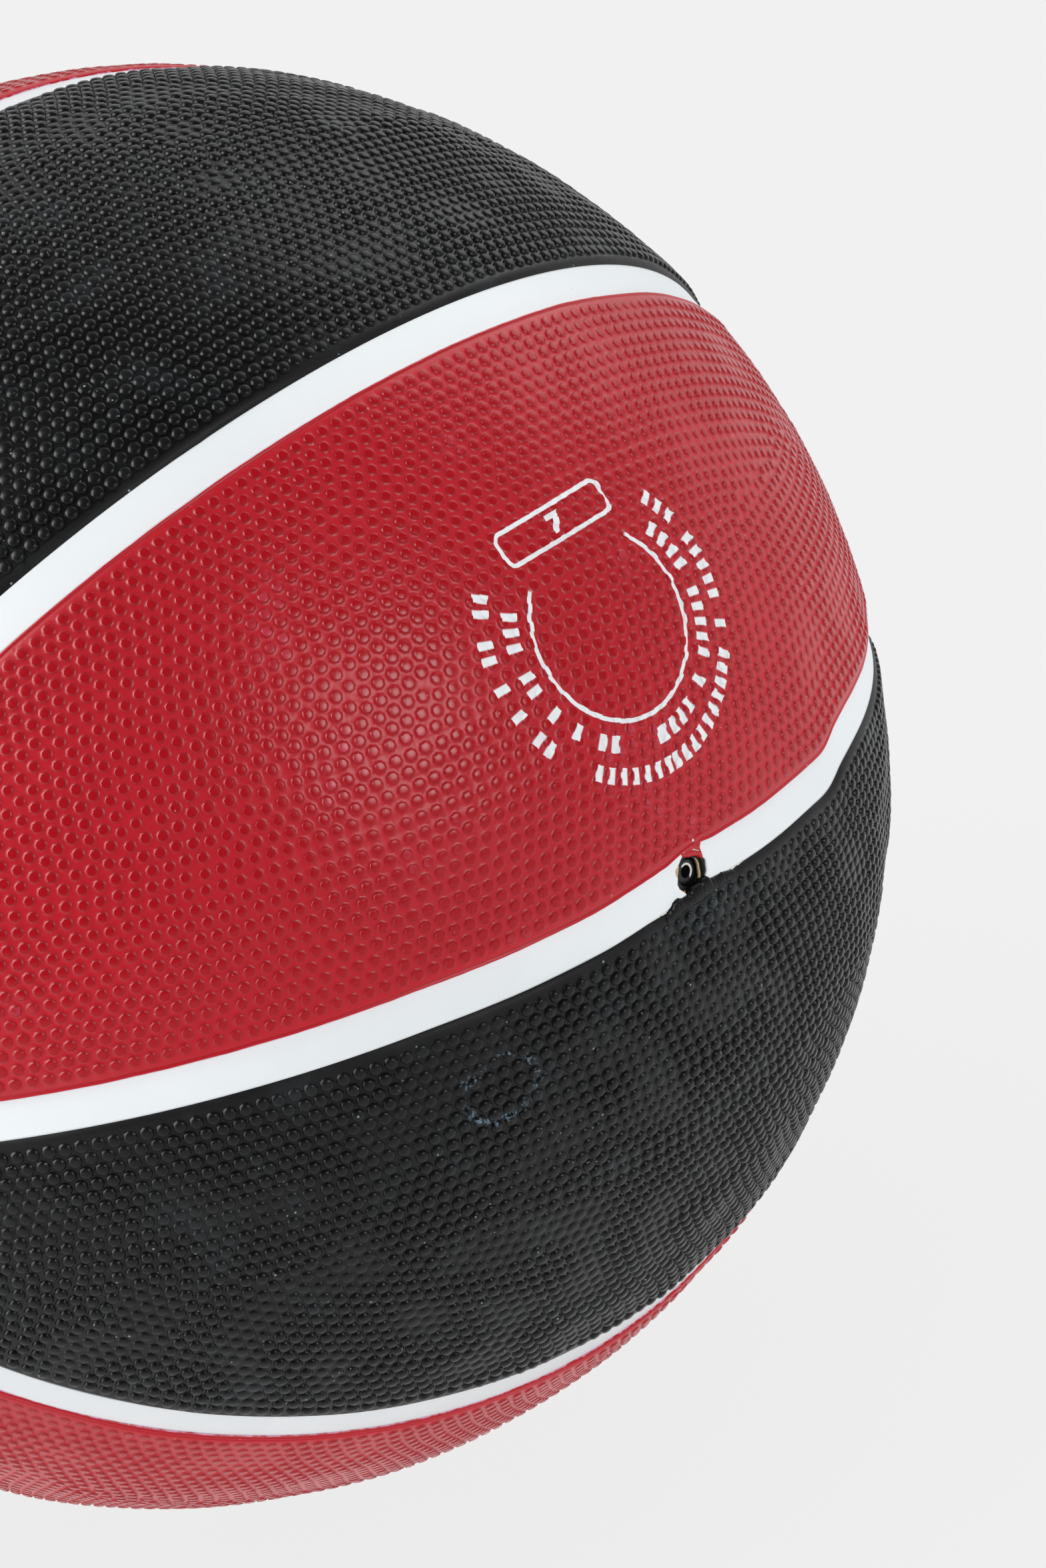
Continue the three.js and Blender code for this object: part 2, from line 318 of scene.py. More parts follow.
def nearest(points, others, count):
    """Indices and distances, in millimetres, of the nearest others to each point."""
    tree = KDTree(len(others))
    for i, other in enumerate(others):
        tree.insert(other, i)
    tree.balance()
    found = [tree.find_n(point, count) for point in points]
    index = np.array([[hit[1] for hit in hits] for hits in found])
    gap = np.array([[hit[2] for hit in hits] for hits in found]) * BALL_RADIUS
    return index, gap


def thinned(candidates, least, kept):
    """The candidates that keep the least distance from the kept points and from those before them."""
    gap = least / BALL_RADIUS
    points = np.vstack([kept, candidates])
    count = len(kept)
    for point in candidates:
        if np.min(np.sum((points[:count] - point) ** 2, axis=1)) > gap * gap:
            points[count] = point
            count += 1
    return points[len(kept):count]


def pebble_rows(edge, style):
    """Seeds in rows that follow the panel's edge, each row staggered against the one before."""
    pitch, first = style["pitch"], style["first"]
    rim = rim_row(edge, 0)
    rows = []
    inset = first
    while True:
        line = resampled(rim_row(edge, inset), pitch, closed=True, phase=0.5 * (len(rows) % 2))
        _, gap = nearest(unit(line), rim, 1)
        line = unit(line)[gap[:, 0] > inset - 0.3 * pitch]
        if not len(line):
            return rows
        rows.append(line)
        inset += pitch * math.sqrt(3) / 2


def relaxed(points, held, reach, rounds):
    """Pushes points apart until they lie about evenly. The first points, held in number, stay."""
    for _ in range(rounds):
        index, _ = nearest(points, points, 9)
        for _ in range(5):
            away = points[:, None] - points[index[:, 1:]]
            gap = np.linalg.norm(away, axis=2, keepdims=True) * BALL_RADIUS
            push = (away / gap * np.clip(reach - gap, 0, None)).sum(1) * 0.22
            push[:held] = 0
            points = unit(points + push)
    return points


def pebble_centres(edge, style, seed):
    """The pebbles' middles: a row along the rim, and the others spread evenly inside it."""
    pitch = style["pitch"]
    rows = pebble_rows(edge, style)
    held = len(rows[0])
    points = np.vstack([rows[0], thinned(np.vstack(rows[1:]), 0.8 * pitch, rows[0])])
    points = relaxed(points, held, 1.12 * pitch, 4)
    rng = np.random.default_rng(seed)
    shake = rng.normal(size=points.shape) * style["jitter"] * pitch / BALL_RADIUS
    shake[:held] *= 0.4
    points = unit(points + shake)
    return relaxed(points, held, 1.0 * pitch, 1)


def pebble_points(centres, style, seed):
    """Every pebble's crown and rings: directions, depths below the ball's radius, and rises from 0 to 1."""
    rng = np.random.default_rng(seed)
    _, gap = nearest(centres, centres, 2)
    radius = np.minimum(style["radius"] * rng.uniform(*RADIUS_SPREAD, len(centres)), WIDEST * gap[:, 1])
    worn = 0.5 + 0.5 * np.tanh(1.6 * waves(centres, WEAR_PATCH, seed) - 0.9)
    height = style["height"] * (1 - WEAR * worn) * rng.uniform(*HEIGHT_SPREAD, len(centres))
    first, second = tangents(centres)
    twist = rng.uniform(0, 2 * np.pi, len(centres))
    directions, depths, rises = [centres], [style["height"] - height], [np.ones(len(centres))]
    for share, rise in style["rings"]:
        for k in range(RING_POINTS):
            angle = twist + 2 * np.pi * k / RING_POINTS
            towards = np.cos(angle)[:, None] * first + np.sin(angle)[:, None] * second
            directions.append(offset(centres, towards, share * radius))
            depths.append(style["height"] - rise * height)
            rises.append(np.full(len(centres), rise))
    return np.vstack(directions), np.concatenate(depths), np.concatenate(rises)


# Panel meshes

def chart(directions, middle):
    """Stereographic map about a middle direction, which keeps circles round."""
    first, second = tangents(middle[None])
    return np.stack([directions @ first[0], directions @ second[0]], 1) / (1 + directions @ middle)[:, None]


def triangles(flat, border, edges=()):
    """Triangles between points of a flat map, inside a border and with given edges, by the points' indices."""
    made = delaunay_2d_cdt([Vector(point) for point in flat], list(edges), [border], 1, 1e-9, False)
    if len(made[0]) != len(flat):
        raise ValueError("the triangulation merged or added points")
    return np.array(made[2])


def fitted(flat, corner, size):
    low, high = flat.min(0), flat.max(0)
    return np.array(corner) + (flat - low) / (high - low).max() * size


def cover(shape, colour, seed):
    """A panel in the quarter of +X and +Z: points, triangles, bake map, and each point's attributes and owner.

    Two points have one owner where they belong to the creased ring of one pebble.
    """
    style = STYLES[colour]
    edge = outline(oval_stretches() if shape == "oval" else crescent_stretches())
    count = len(edge[0])
    insets, rim_depths = np.array(style["rim"]).T
    sway = sum(height * waves(rim_row(edge, 0), length, seed + i) for i, (height, length) in enumerate(EDGE_WAVES))
    rows = [rim_row(edge, inset + sway * (1 - inset / 2)) for inset in insets]
    centres = pebble_centres(edge, style, seed)
    pebbles, depths, rises = pebble_points(centres, style, seed)
    directions = np.vstack(rows + [pebbles])
    depth = np.append(np.repeat(rim_depths, count), depths)
    height, length = FACE_WAVE
    depth = depth + height * waves(directions, length, seed + 2) * np.clip(1.4 - depth, 0, 1)
    inset = np.append(np.repeat(insets, count), np.full(len(pebbles), FACE_INSET))
    rise = np.append(np.zeros(count * len(insets)), rises)

    middle = unit(edge[0].mean(0))
    flat = chart(directions, middle)
    low = len(directions)
    rings = np.arange(low - len(pebbles) + len(centres), low).reshape(-1, RING_POINTS, len(centres))
    loops = np.stack([rings[-1], np.roll(rings[-1], -1, 0)], -1).reshape(-1, 2)
    top = triangles(flat, list(range(count)), loops.tolist())

    inner = np.vstack([rows[0], centres[::9]])
    inner_flat = chart(inner, middle)
    under = triangles(inner_flat, list(range(count)))[:, ::-1] + len(directions)
    here = np.arange(count)
    following = (here + 1) % count
    wall = np.vstack([np.stack([here, low + here, low + following], 1),
                      np.stack([here, low + following, following], 1)])
    if np.cross(flat[1] - flat[0], flat[count // 2] - flat[0]) < 0:
        wall = wall[:, ::-1]

    top_map = fitted(flat, (0.005, 0.005), 0.99)
    under_map = fitted(inner_flat, (0.03, 0.7), 0.4)
    rim_map = under_map[:count]
    wall_map = rim_map.mean(0) + (rim_map - rim_map.mean(0)) * 1.05
    bake = np.vstack([
        top_map[top.ravel()],
        np.vstack([wall_map, np.zeros((low - count, 2)), under_map])[wall.ravel()],
        under_map[under.ravel() - low],
    ])
    radius = np.append(BALL_RADIUS - depth, np.full(len(inner), BALL_RADIUS - COVER_THICKNESS))
    points = np.vstack([directions, inner]) * radius[:, None]
    pad = np.zeros(len(inner))
    owner = np.full(len(points), -1)
    owner[rings[style["sharp"]]] = np.arange(len(centres))
    attributes = {"inset": np.append(inset, pad), "rise": np.append(rise, pad)}
    return points, np.vstack([top, wall, under]), bake, attributes, owner


def crease(mesh, owner):
    """Makes sharp the edges that join two points of one owner."""
    ends = np.empty(2 * len(mesh.edges), dtype=np.int32)
    mesh.edges.foreach_get("vertices", ends)
    first, second = owner[ends[0::2]], owner[ends[1::2]]
    marks = mesh.attributes.new("sharp_edge", "BOOLEAN", "EDGE")
    marks.data.foreach_set("value", (first == second) & (first >= 0))


def make_mesh(name, points, faces, bake=None, attributes=None):
    """A mesh of triangles or quads from points in millimetres."""
    mesh = bpy.data.meshes.new(name)
    corners = faces.shape[1]
    mesh.vertices.add(len(points))
    mesh.vertices.foreach_set("co", (points * METRES).astype(np.float32).ravel())
    mesh.loops.add(faces.size)
    mesh.loops.foreach_set("vertex_index", faces.astype(np.int32).ravel())
    mesh.polygons.add(len(faces))
    mesh.polygons.foreach_set("loop_start", np.arange(0, faces.size, corners, dtype=np.int32))
    mesh.polygons.foreach_set("use_smooth", np.ones(len(faces), dtype=bool))
    if bake is not None:
        layer = mesh.uv_layers.new(name="OFBake")
        layer.uv.foreach_set("vector", bake.astype(np.float32).ravel())
    for key, values in (attributes or {}).items():
        mesh.attributes.new(key, "FLOAT", "POINT").data.foreach_set("value", values.astype(np.float32))
    mesh.update(calc_edges=True)
    mesh.validate()
    return mesh


def welded(mesh):
    """The mesh with points at one place made one."""
    made = bmesh.new()
    made.from_mesh(mesh)
    bmesh.ops.remove_doubles(made, verts=made.verts, dist=WELD_DISTANCE * METRES)
    bmesh.ops.dissolve_degenerate(made, edges=made.edges, dist=WELD_DISTANCE * METRES)
    made.to_mesh(mesh)
    made.free()
    return mesh


def add_object(name, data):
    made = bpy.data.objects.new(name, data)
    bpy.context.collection.objects.link(made)
    return made


def add_piece(name, mesh, material, nodes=(), body="ball"):
    piece = add_object(name, mesh)
    mesh.materials.append(material)
    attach(piece, body)
    if nodes:
        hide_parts(*nodes)


# Materials

def linear(red, green, blue):
    """A colour as it shows on a screen, 0 to 255, as the light that it stands for."""
    parts = [value / 255 for value in (red, green, blue)]
    return tuple(p / 12.92 if p <= 0.04045 else ((p + 0.055) / 1.055) ** 2.4 for p in parts) + (1.0,)


class Nodes:
    """The nodes of a material or a world, with short ways to add them and link them."""

    def __init__(self, owner):
        owner.use_nodes = True
        self.tree = owner.node_tree

    def add(self, kind, settings=None, **inputs):
        """A shader node. Its inputs go by name, with _ for a space, or by number, as in i0."""
        made = self.tree.nodes.new("ShaderNode" + kind)
        for key, value in (settings or {}).items():
            setattr(made, key, value)
        for key, value in inputs.items():
            socket = int(key[1:]) if key[1:].isdigit() else key.replace("_", " ")
            self.feed(made.inputs[socket], value)
        return made

    def feed(self, socket, value):
        if isinstance(value, bpy.types.NodeSocket):
            self.tree.links.new(value, socket)
        else:
            socket.default_value = value

    def math(self, operation, *values):
        inputs = {f"i{socket}": value for socket, value in enumerate(values)}
        return self.add("Math", dict(operation=operation), **inputs).outputs[0]

    def times(self, first, *others):
        """The product of values. Of masks, it is 1 where all of them are."""
        for other in others:
            first = self.math("MULTIPLY", first, other)
        return first

    def greatest(self, first, *others):
        for other in others:
            first = self.math("MAXIMUM", first, other)
        return first

    def along(self, place, axis):
        made = self.add("VectorMath", dict(operation="DOT_PRODUCT"), i0=place, i1=axis)
        return made.outputs["Value"]

    def show(self, output, share, first, second):
        choice = self.add("MixShader", i0=share, i1=first.outputs[0], i2=second.outputs[0])
        self.feed(self.tree.nodes[output].inputs["Surface"], choice.outputs[0])

    def background_rays(self, mirrored):
        """The share of a plain backdrop that rays see: 1 from the camera and behind glass, and less in mirrors."""
        rays = self.add("LightPath").outputs
        glossy = self.times(rays["Is Glossy Ray"], mirrored)
        return self.greatest(rays["Is Camera Ray"], glossy, rays["Is Transmission Ray"])


class Finish(Nodes):
    """A material with short ways to make patterns."""

    def __init__(self, name):
        self.material = bpy.data.materials.new(name)
        super().__init__(self.material)
        self.shader = self.tree.nodes["Principled BSDF"]
        self.place = self.add("TexCoord").outputs["Object"]

    def set(self, **inputs):
        for key, value in inputs.items():
            self.feed(self.shader.inputs[key.replace("_", " ")], value)

    def attribute(self, name):
        return self.add("Attribute", dict(attribute_name=name)).outputs["Fac"]

    def noise(self, size, detail=3.0):
        """Noise from 0 to 1 whose blotches are about size millimetres across."""
        made = self.add("TexNoise", Vector=self.place, Scale=1 / (size * METRES), Detail=detail,
                        Roughness=0.55)
        return made.outputs["Fac"]

    def ramp(self, value, low, high):
        """0 below low and 1 above high, smooth between."""
        made = self.add("MapRange", dict(interpolation_type="SMOOTHSTEP"), Value=value, From_Min=low,
                        From_Max=high)
        return made.outputs["Result"]

    def mix(self, share, first, second, kind="RGBA", sockets=(0, 6, 7), output=2):
        inputs = {f"i{socket}": value for socket, value in zip(sockets, (share, first, second))}
        return self.add("Mix", dict(data_type=kind), **inputs).outputs[output]

    def lerp(self, share, first, second):
        return self.mix(share, first, second, kind="FLOAT", sockets=(0, 2, 3), output=0)

    def blotches(self, size, tones, detail=3.0):
        """Two screen colours that run into each other in blotches."""
        return self.mix(self.noise(size, detail), *(linear(*tone) for tone in tones))

    def stain(self, tone, mask, share, colour):
        """A tone with a share of a screen colour where the mask is 1."""
        return self.mix(self.times(mask, share), tone, linear(*colour))

    def specks(self, size, share):
        """Small round spots, 1 inside. share is the part of the cells that has one."""
        cells = self.add("TexVoronoi", Vector=self.place, Scale=1 / (size * METRES))
        chance = self.add("SeparateColor", Color=cells.outputs["Color"])
        radius = self.times(chance.outputs[1], LARGEST_SPECK)
        spot = self.math("LESS_THAN", cells.outputs["Distance"], radius)
        return self.times(spot, self.math("LESS_THAN", chance.outputs[0], share))

    def above(self, value, least, soft=0.02):
        """1 where a value is more than the least."""
        return self.ramp(value, least - soft, least + soft)

    def near(self, value, target, reach, soft=0.06):
        """1 where a value lies within a reach of the target."""
        gap = self.math("ABSOLUTE", self.math("SUBTRACT", value, target))
        return self.ramp(gap, reach + soft, reach - soft)

    def length(self, u, v):
        return self.math("SQRT", self.math("MULTIPLY_ADD", u, u, self.times(v, v)))

    def plane(self, middle):
        """Millimetres along and up the ball's surface from a middle direction."""
        return [self.along(self.place, Vector(axis) / METRES) for axis in level_axes(middle)]

    def done(self, grain, height, **inputs):
        """The material, with its shader's inputs and with a fine bump whose grains have a size and a height."""
        bump = self.add("Bump", Height=self.noise(grain), Distance=height * METRES, Strength=1.0)
        self.set(Normal=bump.outputs["Normal"], **inputs)
        return self.material


# The print on the upper valve panel: its middle direction and its sizes
PRINT_MIDDLE = unit(np.array([0.9417, 0.0163, 0.336]))
PRINT_LINE = 0.34  # half a line's width
PRINT_RING = 14.85
PRINT_RING_BARE = 46  # half the angle that stays bare at the top, in degrees
PRINT_ROWS = ((18.45, 61), (23.1, 51))  # each row's radius, and half its bare angle
PRINT_PITCH = 2.35
PRINT_BAR = (0.27, 1.25)  # half a bar's width, as a share of the pitch, and half its height
PRINT_GAPS = 0.16  # the share of the bars that is left out
PRINT_BOX = (11.4, 2.65)
PRINT_BOX_HEIGHT = 17.2
PRINT_CORNER = 1.3
PRINT_COLOUR = (232, 237, 240)

# The chalk mark on the lower valve panel
CHALK_MIDDLE = unit(np.array([0.9292, -0.3404, -0.1441]))
CHALK_RING = 6.6
CHALK_SQUASH = 1.304

# Colours as they show on a screen. Pairs run into each other in blotches
RED_GROUND = ((185, 10, 32), (178, 7, 27))
RED_GRAIN = (205, 90, 98)
# pebble tops, darker than the ground: painted shade where the tops mirror a dim room
RED_TOP_PAINTED_SHADE = (163, 0, 17)
# a darker ring on every red pebble's wall: painted shade
RED_WALL_PAINTED_SHADE = (126, 0, 14)
RED_SPECK = (226, 150, 150)
RED_RUBBED = (214, 90, 112)
RED_EDGE = (214, 150, 178)
# the black ground between pebbles, in blotches of its own and darker than the tops: painted shade between the
# pebbles
BLACK_GROUND_PAINTED_SHADE = ((15, 15, 16), (11, 11, 11))
BLACK_TOP = (17, 17, 17)
DUST = (110, 122, 130)
DUST_SPECK = (170, 186, 194)
DUST_FILM = (84, 100, 110)
CHALK = (150, 182, 205)
SPILLED_PAINT = (236, 232, 216)
STRIP_TONES = ((229, 235, 238), (236, 240, 242))
SOIL = (96, 78, 70)
VALVE_TONES = ((16, 15, 15), (30, 29, 28))
# a pale crescent on one side of the needle hole
PALE_CRESCENT = (226, 228, 224)
TORN_TONES = ((176, 150, 112), (214, 190, 150))
GLUE_TONES = ((140, 84, 30), (196, 128, 60))
CARCASS_TONES = ((150, 120, 84), (186, 152, 108))
THREAD_TONES = ((190, 184, 168), (222, 217, 203))
BUTYL_TONES = ((24, 23, 23), (38, 37, 36))

RED_TOP_RISE = (0.69, 0.77)  # the rises between which a red pebble's wall becomes its top
RED_FOOT_RISE = (0.05, 0.25)
PAINT_SPILL = 0.3  # how far white paint laps onto a black panel
VALVE_PAINT_SPILL = 0.72
LARGEST_SPECK = 0.22  # a speck's radius against its cell


def printed(look):
    """1 on the print: a ring, two rows of plain bars round it, and a box with the numeral 7."""
    u, v = look.plane(PRINT_MIDDLE)
    waver = look.math("MULTIPLY_ADD", look.noise(1.1, 2), 0.24, -0.12)
    radius = look.math("ADD", look.length(u, v), waver)
    turn = look.math("ARCTAN2", u, v)
    drawn = look.above(look.math("ABSOLUTE", turn), math.radians(PRINT_RING_BARE))
    marks = [look.times(look.near(radius, PRINT_RING, PRINT_LINE), drawn)]
    for row, bare in PRINT_ROWS:
        place = look.times(turn, row / PRINT_PITCH)
        number = look.math("FLOOR", place)
        from_top = look.math("ABSOLUTE", look.math("ADD", number, 0.5))
        lot = look.add("TexWhiteNoise", dict(noise_dimensions="1D"), W=number)
        marks.append(look.times(
            look.near(look.math("FRACT", place), 0.5, PRINT_BAR[0]),
            look.near(radius, row, PRINT_BAR[1]),
            look.above(lot.outputs["Value"], PRINT_GAPS),
            look.above(from_top, math.radians(bare) * row / PRINT_PITCH)))
    height = look.math("SUBTRACT", v, PRINT_BOX_HEIGHT)
    sides = []
    for place, half in ((u, PRINT_BOX[0]), (height, PRINT_BOX[1])):
        beyond = look.math("SUBTRACT", look.math("ABSOLUTE", place), half - PRINT_CORNER)
        sides.append(look.math("MAXIMUM", beyond, 0.0))
    box = look.near(look.math("ADD", look.length(*sides), waver), PRINT_CORNER, PRINT_LINE)
    stroke = look.times(look.near(height, 1.12, 0.42), look.near(u, 0.0, 1.3))
    slope = look.math("MULTIPLY_ADD", height, -0.5, look.math("SUBTRACT", u, 0.1))
    leg = look.times(look.near(slope, 0.0, 0.62), look.near(height, 0.0, 1.54))
    return look.greatest(*marks, box, stroke, leg)


def red_cover(name, with_print=False):
    look = Finish(name)
    rise, inset = look.attribute("rise"), look.attribute("inset")
    top = look.ramp(rise, *RED_TOP_RISE)
    # wall is 1 on the pebbles' walls, where the painted shade goes
    wall = look.times(look.ramp(rise, *RED_FOOT_RISE), look.ramp(rise, *RED_TOP_RISE[::-1]))
    grain = look.ramp(look.noise(0.5, 2), 0.35, 0.75)
    patches = look.above(look.noise(14, 2), 0.66, 0.04)
    rubbed = look.times(patches, look.above(look.noise(3, 2), 0.45, 0.1), top)
    edge = look.math("MULTIPLY_ADD", look.noise(1.6), 0.25, inset)
    ground = look.stain(look.blotches(22, RED_GROUND, 2), grain, 0.035, RED_GRAIN)
    # the tops' darker colour is painted shade
    tone = look.mix(top, ground, linear(*RED_TOP_PAINTED_SHADE))
    tone = look.stain(tone, look.specks(1.1, 0.03), 0.5, RED_SPECK)
    tone = look.stain(tone, rubbed, 0.3, RED_RUBBED)
    tone = look.mix(look.ramp(edge, 0.22, 0.16), tone, linear(*RED_EDGE))
    # painted shade: the walls darkened all round each pebble
    tone = look.stain(tone, wall, 0.45, RED_WALL_PAINTED_SHADE)
    rough = look.lerp(top, 0.33, 0.23)
    if with_print:
        paint = printed(look)
        tone = look.mix(paint, tone, linear(*PRINT_COLOUR))
        rough = look.lerp(paint, rough, 0.5)
    return look.done(0.35, 0.012, Base_Color=tone, Roughness=rough, Specular_IOR_Level=0.42)


def chalked(look):
    """1 on the chalk: a broken ring of fine crumbs."""
    u, v = look.plane(CHALK_MIDDLE)
    bend = look.math("MULTIPLY_ADD", look.noise(9, 2), 5.0, -2.5)
    radius = look.math("ADD", look.length(u, look.times(v, CHALK_SQUASH)), bend)
    crumbs = look.above(look.noise(0.55, 4), 0.55, 0.06)
    patches = look.above(look.noise(5, 2), 0.5, 0.08)
    return look.times(look.near(radius, CHALK_RING, 0.7, 0.6), crumbs, patches)


def black_cover(name, ragged=0.4, with_chalk=False):
    look = Finish(name)
    rise, inset = look.attribute("rise"), look.attribute("inset")
    # the ground darker than the tops: painted shade between the pebbles
    tone = look.mix(rise, look.blotches(18, BLACK_GROUND_PAINTED_SHADE), linear(*BLACK_TOP))
    dust = look.times(look.ramp(look.noise(9, 4), 0.45, 0.8), look.noise(0.8, 3))
    tone = look.stain(tone, dust, 0.1, DUST)
    tone = look.stain(tone, look.specks(0.9, 0.06), 0.5, DUST_SPECK)
    spill = PAINT_SPILL
    if with_chalk:
        away = look.length(*look.plane((1, 0, 0)))
        film = look.times(look.ramp(away, 15, 4), look.ramp(look.noise(2.2, 4), 0.4, 0.7))
        tone = look.stain(tone, film, 0.25, DUST_FILM)
        tone = look.stain(tone, chalked(look), 0.45, CHALK)
        spill = look.lerp(look.ramp(away, 15, 7), PAINT_SPILL, VALVE_PAINT_SPILL)
    edge = look.math("MULTIPLY_ADD", look.noise(1.8), ragged, inset)
    painted = look.above(look.math("SUBTRACT", spill, edge), 0.03, 0.03)
    rough = look.lerp(look.ramp(inset, 1.2, 2.2), 0.5, 0.3)
    tone = look.mix(painted, tone, linear(*SPILLED_PAINT))
    return look.done(0.4, 0.012, Base_Color=tone, Roughness=rough, Specular_IOR_Level=0.26)


def white_strip():
    look = Finish("white_strip")
    soiled = look.times(look.specks(1.3, 0.2), look.above(look.noise(16, 2), 0.62, 0.04))
    tone = look.stain(look.blotches(14, STRIP_TONES), soiled, 0.7, SOIL)
    return look.done(1.4, 0.03, Base_Color=tone, Roughness=0.42, Specular_IOR_Level=0.3)


def needle_seal():
    """The plug's rubber, with a pale crescent on one side of the needle hole, and painted shade, near black, inside
    the hole.
    """
    look = Finish("needle_seal")
    y, z = look.plane((1, 0, 0))
    radius = look.length(y, z)
    side = look.math("ADD", y, look.math("MULTIPLY_ADD", z, 0.6, look.noise(0.5, 2)))
    pale_crescent = look.times(look.near(radius, 1.18, 0.17, 0.05), look.above(side, 0.5, 0.15))
    # near black inside the needle hole: painted shade in the hole
    beyond_hole_shade = look.above(radius, NEEDLE_RADIUS + 0.02)
    tone = look.mix(beyond_hole_shade, linear(1, 1, 1), look.blotches(1.5, VALVE_TONES))
    return look.done(0.6, 0.03, Base_Color=look.mix(pale_crescent, tone, linear(*PALE_CRESCENT)), Roughness=0.4)


def inner_finish(name, tones, size, roughness):
    """Rubber, thread, butyl or glue, in blotches of a size."""
    look = Finish(name)
    return look.done(size / 3, 0.1, Base_Color=look.blotches(size, tones), Roughness=roughness)


# Strips and the rubber round the valve: bands of one section, closed at their ends

STRIP_SHARES = (-1, -0.9, -0.72, -0.54, -0.33, -0.11, 0.11, 0.33, 0.54, 0.72, 0.9, 1)
STRIP_EDGE_DROP = 0.08
STRIP_END_REACH = 14  # how far from the valve the equator strip's end is worked
STRIP_RAG = (-0.2, 0.25)
STRIP_RIPPLE = 0.05  # the height of the rings round the valve
LIP_RAG = 0.07
LIP_ROUGHNESS = 0.05


def tube(points, closed=False):
    """Quads round a grid of points: rows along a band, columns round its section."""
    count, width = points.shape[:2]
    along = np.arange(count if closed else count - 1)[:, None]
    column = np.arange(width)
    here, beyond, following = along * width, (along + 1) % count * width, (column + 1) % width
    sides = np.stack([here + column, here + following, beyond + following, beyond + column], -1).reshape(-1, 4)
    pair = np.arange(width // 2 - 1)
    cap = np.stack([pair, pair + 1, width - 2 - pair, width - 1 - pair], 1)
    faces = sides if closed else np.vstack([sides, cap[:, ::-1], cap + (count - 1) * width])
    flat = points.reshape(-1, 3)
    a, b, c, d = (flat[faces[:, k]] for k in range(4))
    volume = np.sum(np.cross(b - a, c - a) * a) + np.sum(np.cross(c - a, d - a) * a)
    return flat, faces if volume > 0 else faces[:, ::-1]


def strip_section(half_widths):
    """Sideways places and depths round a strip's section, for a row of half widths."""
    shares = np.array(STRIP_SHARES)
    face = STRIP_DEPTH - STRIP_EDGE_DROP * smooth(np.abs(shares), 0.8, 1)
    depths = np.append(face, np.full(len(shares), COVER_THICKNESS))
    return half_widths[:, None] * np.append(shares, shares[::-1]), np.tile(depths, (len(half_widths), 1))


def laid(centre, across, sideways, depths):
    """A grid of points from seam points, tangents across the seam, sideways places and depths."""
    return offset(centre, across, sideways) * (BALL_RADIUS - depths)[..., None]


def strip_turns():
    """Turns from one end of a half seam to the other, close together where the strip flares."""
    lift = half_seam / BALL_RADIUS
    start = lift + np.linspace(0, 1, 12) ** 2 * 1.2 * CORNER_RADIUS / BALL_RADIUS
    middle = np.linspace(start[-1], np.pi - start[-1], 360)[1:-1]
    return np.concatenate([start, middle, np.pi - start[::-1]])


def flared(centre):
    """Half widths of a strip that widens at its ends, to meet the panels' round corners."""
    reach = np.arcsin(np.abs(centre[:, 2])) * BALL_RADIUS - half_seam
    short = np.clip(CORNER_RADIUS - reach, 0, CORNER_RADIUS)
    return half_strip + CORNER_RADIUS - np.sqrt(CORNER_RADIUS ** 2 - short ** 2)


def half_seam_strip(line, sign_x, sign_z):
    """A strip from the equator over to the equator, mirrored by the signs of X and Z."""
    centre, across = line
    sideways, depths = strip_section(flared(centre))
    points = laid(centre[:, None], across[:, None], sideways, depths)
    return tube(to_part(points * [sign_x, 1, sign_z]))


def equator_strip():
    """The equator's strip, cut at the valve, with two ragged ends round the valve's hole."""
    whole = 2 * np.pi * BALL_RADIUS
    start = np.linspace(0, 1, 28) ** 1.3 * STRIP_END_REACH
    middle = np.linspace(STRIP_END_REACH, whole / 2, 350)[1:]
    reach = np.append(start, middle)
    sideways, depths = strip_section(half_strip + PARTING * np.exp(-(reach / 4.5) ** 2))
    height = sideways - sag_at(np.zeros(1))
    hole = np.sqrt(np.clip(HOLE_RADIUS ** 2 - height ** 2, 0.3, None))
    rng = np.random.default_rng(4)
    halves = []
    for side in (1, -1):
        rag = rng.uniform(*STRIP_RAG, len(STRIP_SHARES))
        rag = np.append(rag, rag[::-1])
        places = reach[:, None] + (hole + rag) * np.clip(1 - reach[:, None] / STRIP_END_REACH, 0, 1)
        away = np.hypot(places, height)
        rings = STRIP_RIPPLE * np.cos((away - HOLE_RADIUS) * 3.6) * np.exp(-(away - 5) ** 2 / 6)
        face = depths + rings * (depths < COVER_THICKNESS)
        angles = side * places / BALL_RADIUS
        halves.append(laid(circle(angles), UP, sideways, face))
    return tube(sagged(np.concatenate([halves[0], halves[1][-2::-1]])))


def add_strips(material):
    turns = strip_turns()
    strips = {"equator_strip": equator_strip()}
    for name, sign_z in (("crown_strip", 1), ("base_strip", -1)):
        strips[name] = half_seam_strip(crown_line(turns), 1, sign_z)
    for name, sign_x in (("valve_side_strip", 1), ("rear_side_strip", -1)):
        for end, sign_z in (("upper", 1), ("lower", -1)):
            strips[f"{name}_{end}"] = half_seam_strip(side_line(turns), sign_x, sign_z)
    for name, strip in strips.items():
        add_piece(name + "_looks", make_mesh(name, *strip), material, [name])


def rounded(ahead, radii, angles):
    """Points about the valve's axis, from places along it, radii and angles from +Y."""
    return np.stack(np.broadcast_arrays(ahead, radii * np.cos(angles), radii * np.sin(angles)), -1)


def around_valve(angles, radii, depths):
    """A grid of points about the valve's axis, from radii and from depths below the ball's radius."""
    ahead = np.sqrt((BALL_RADIUS - depths) ** 2 - radii ** 2)
    return rounded(ahead, radii, np.radians(angles)[:, None])


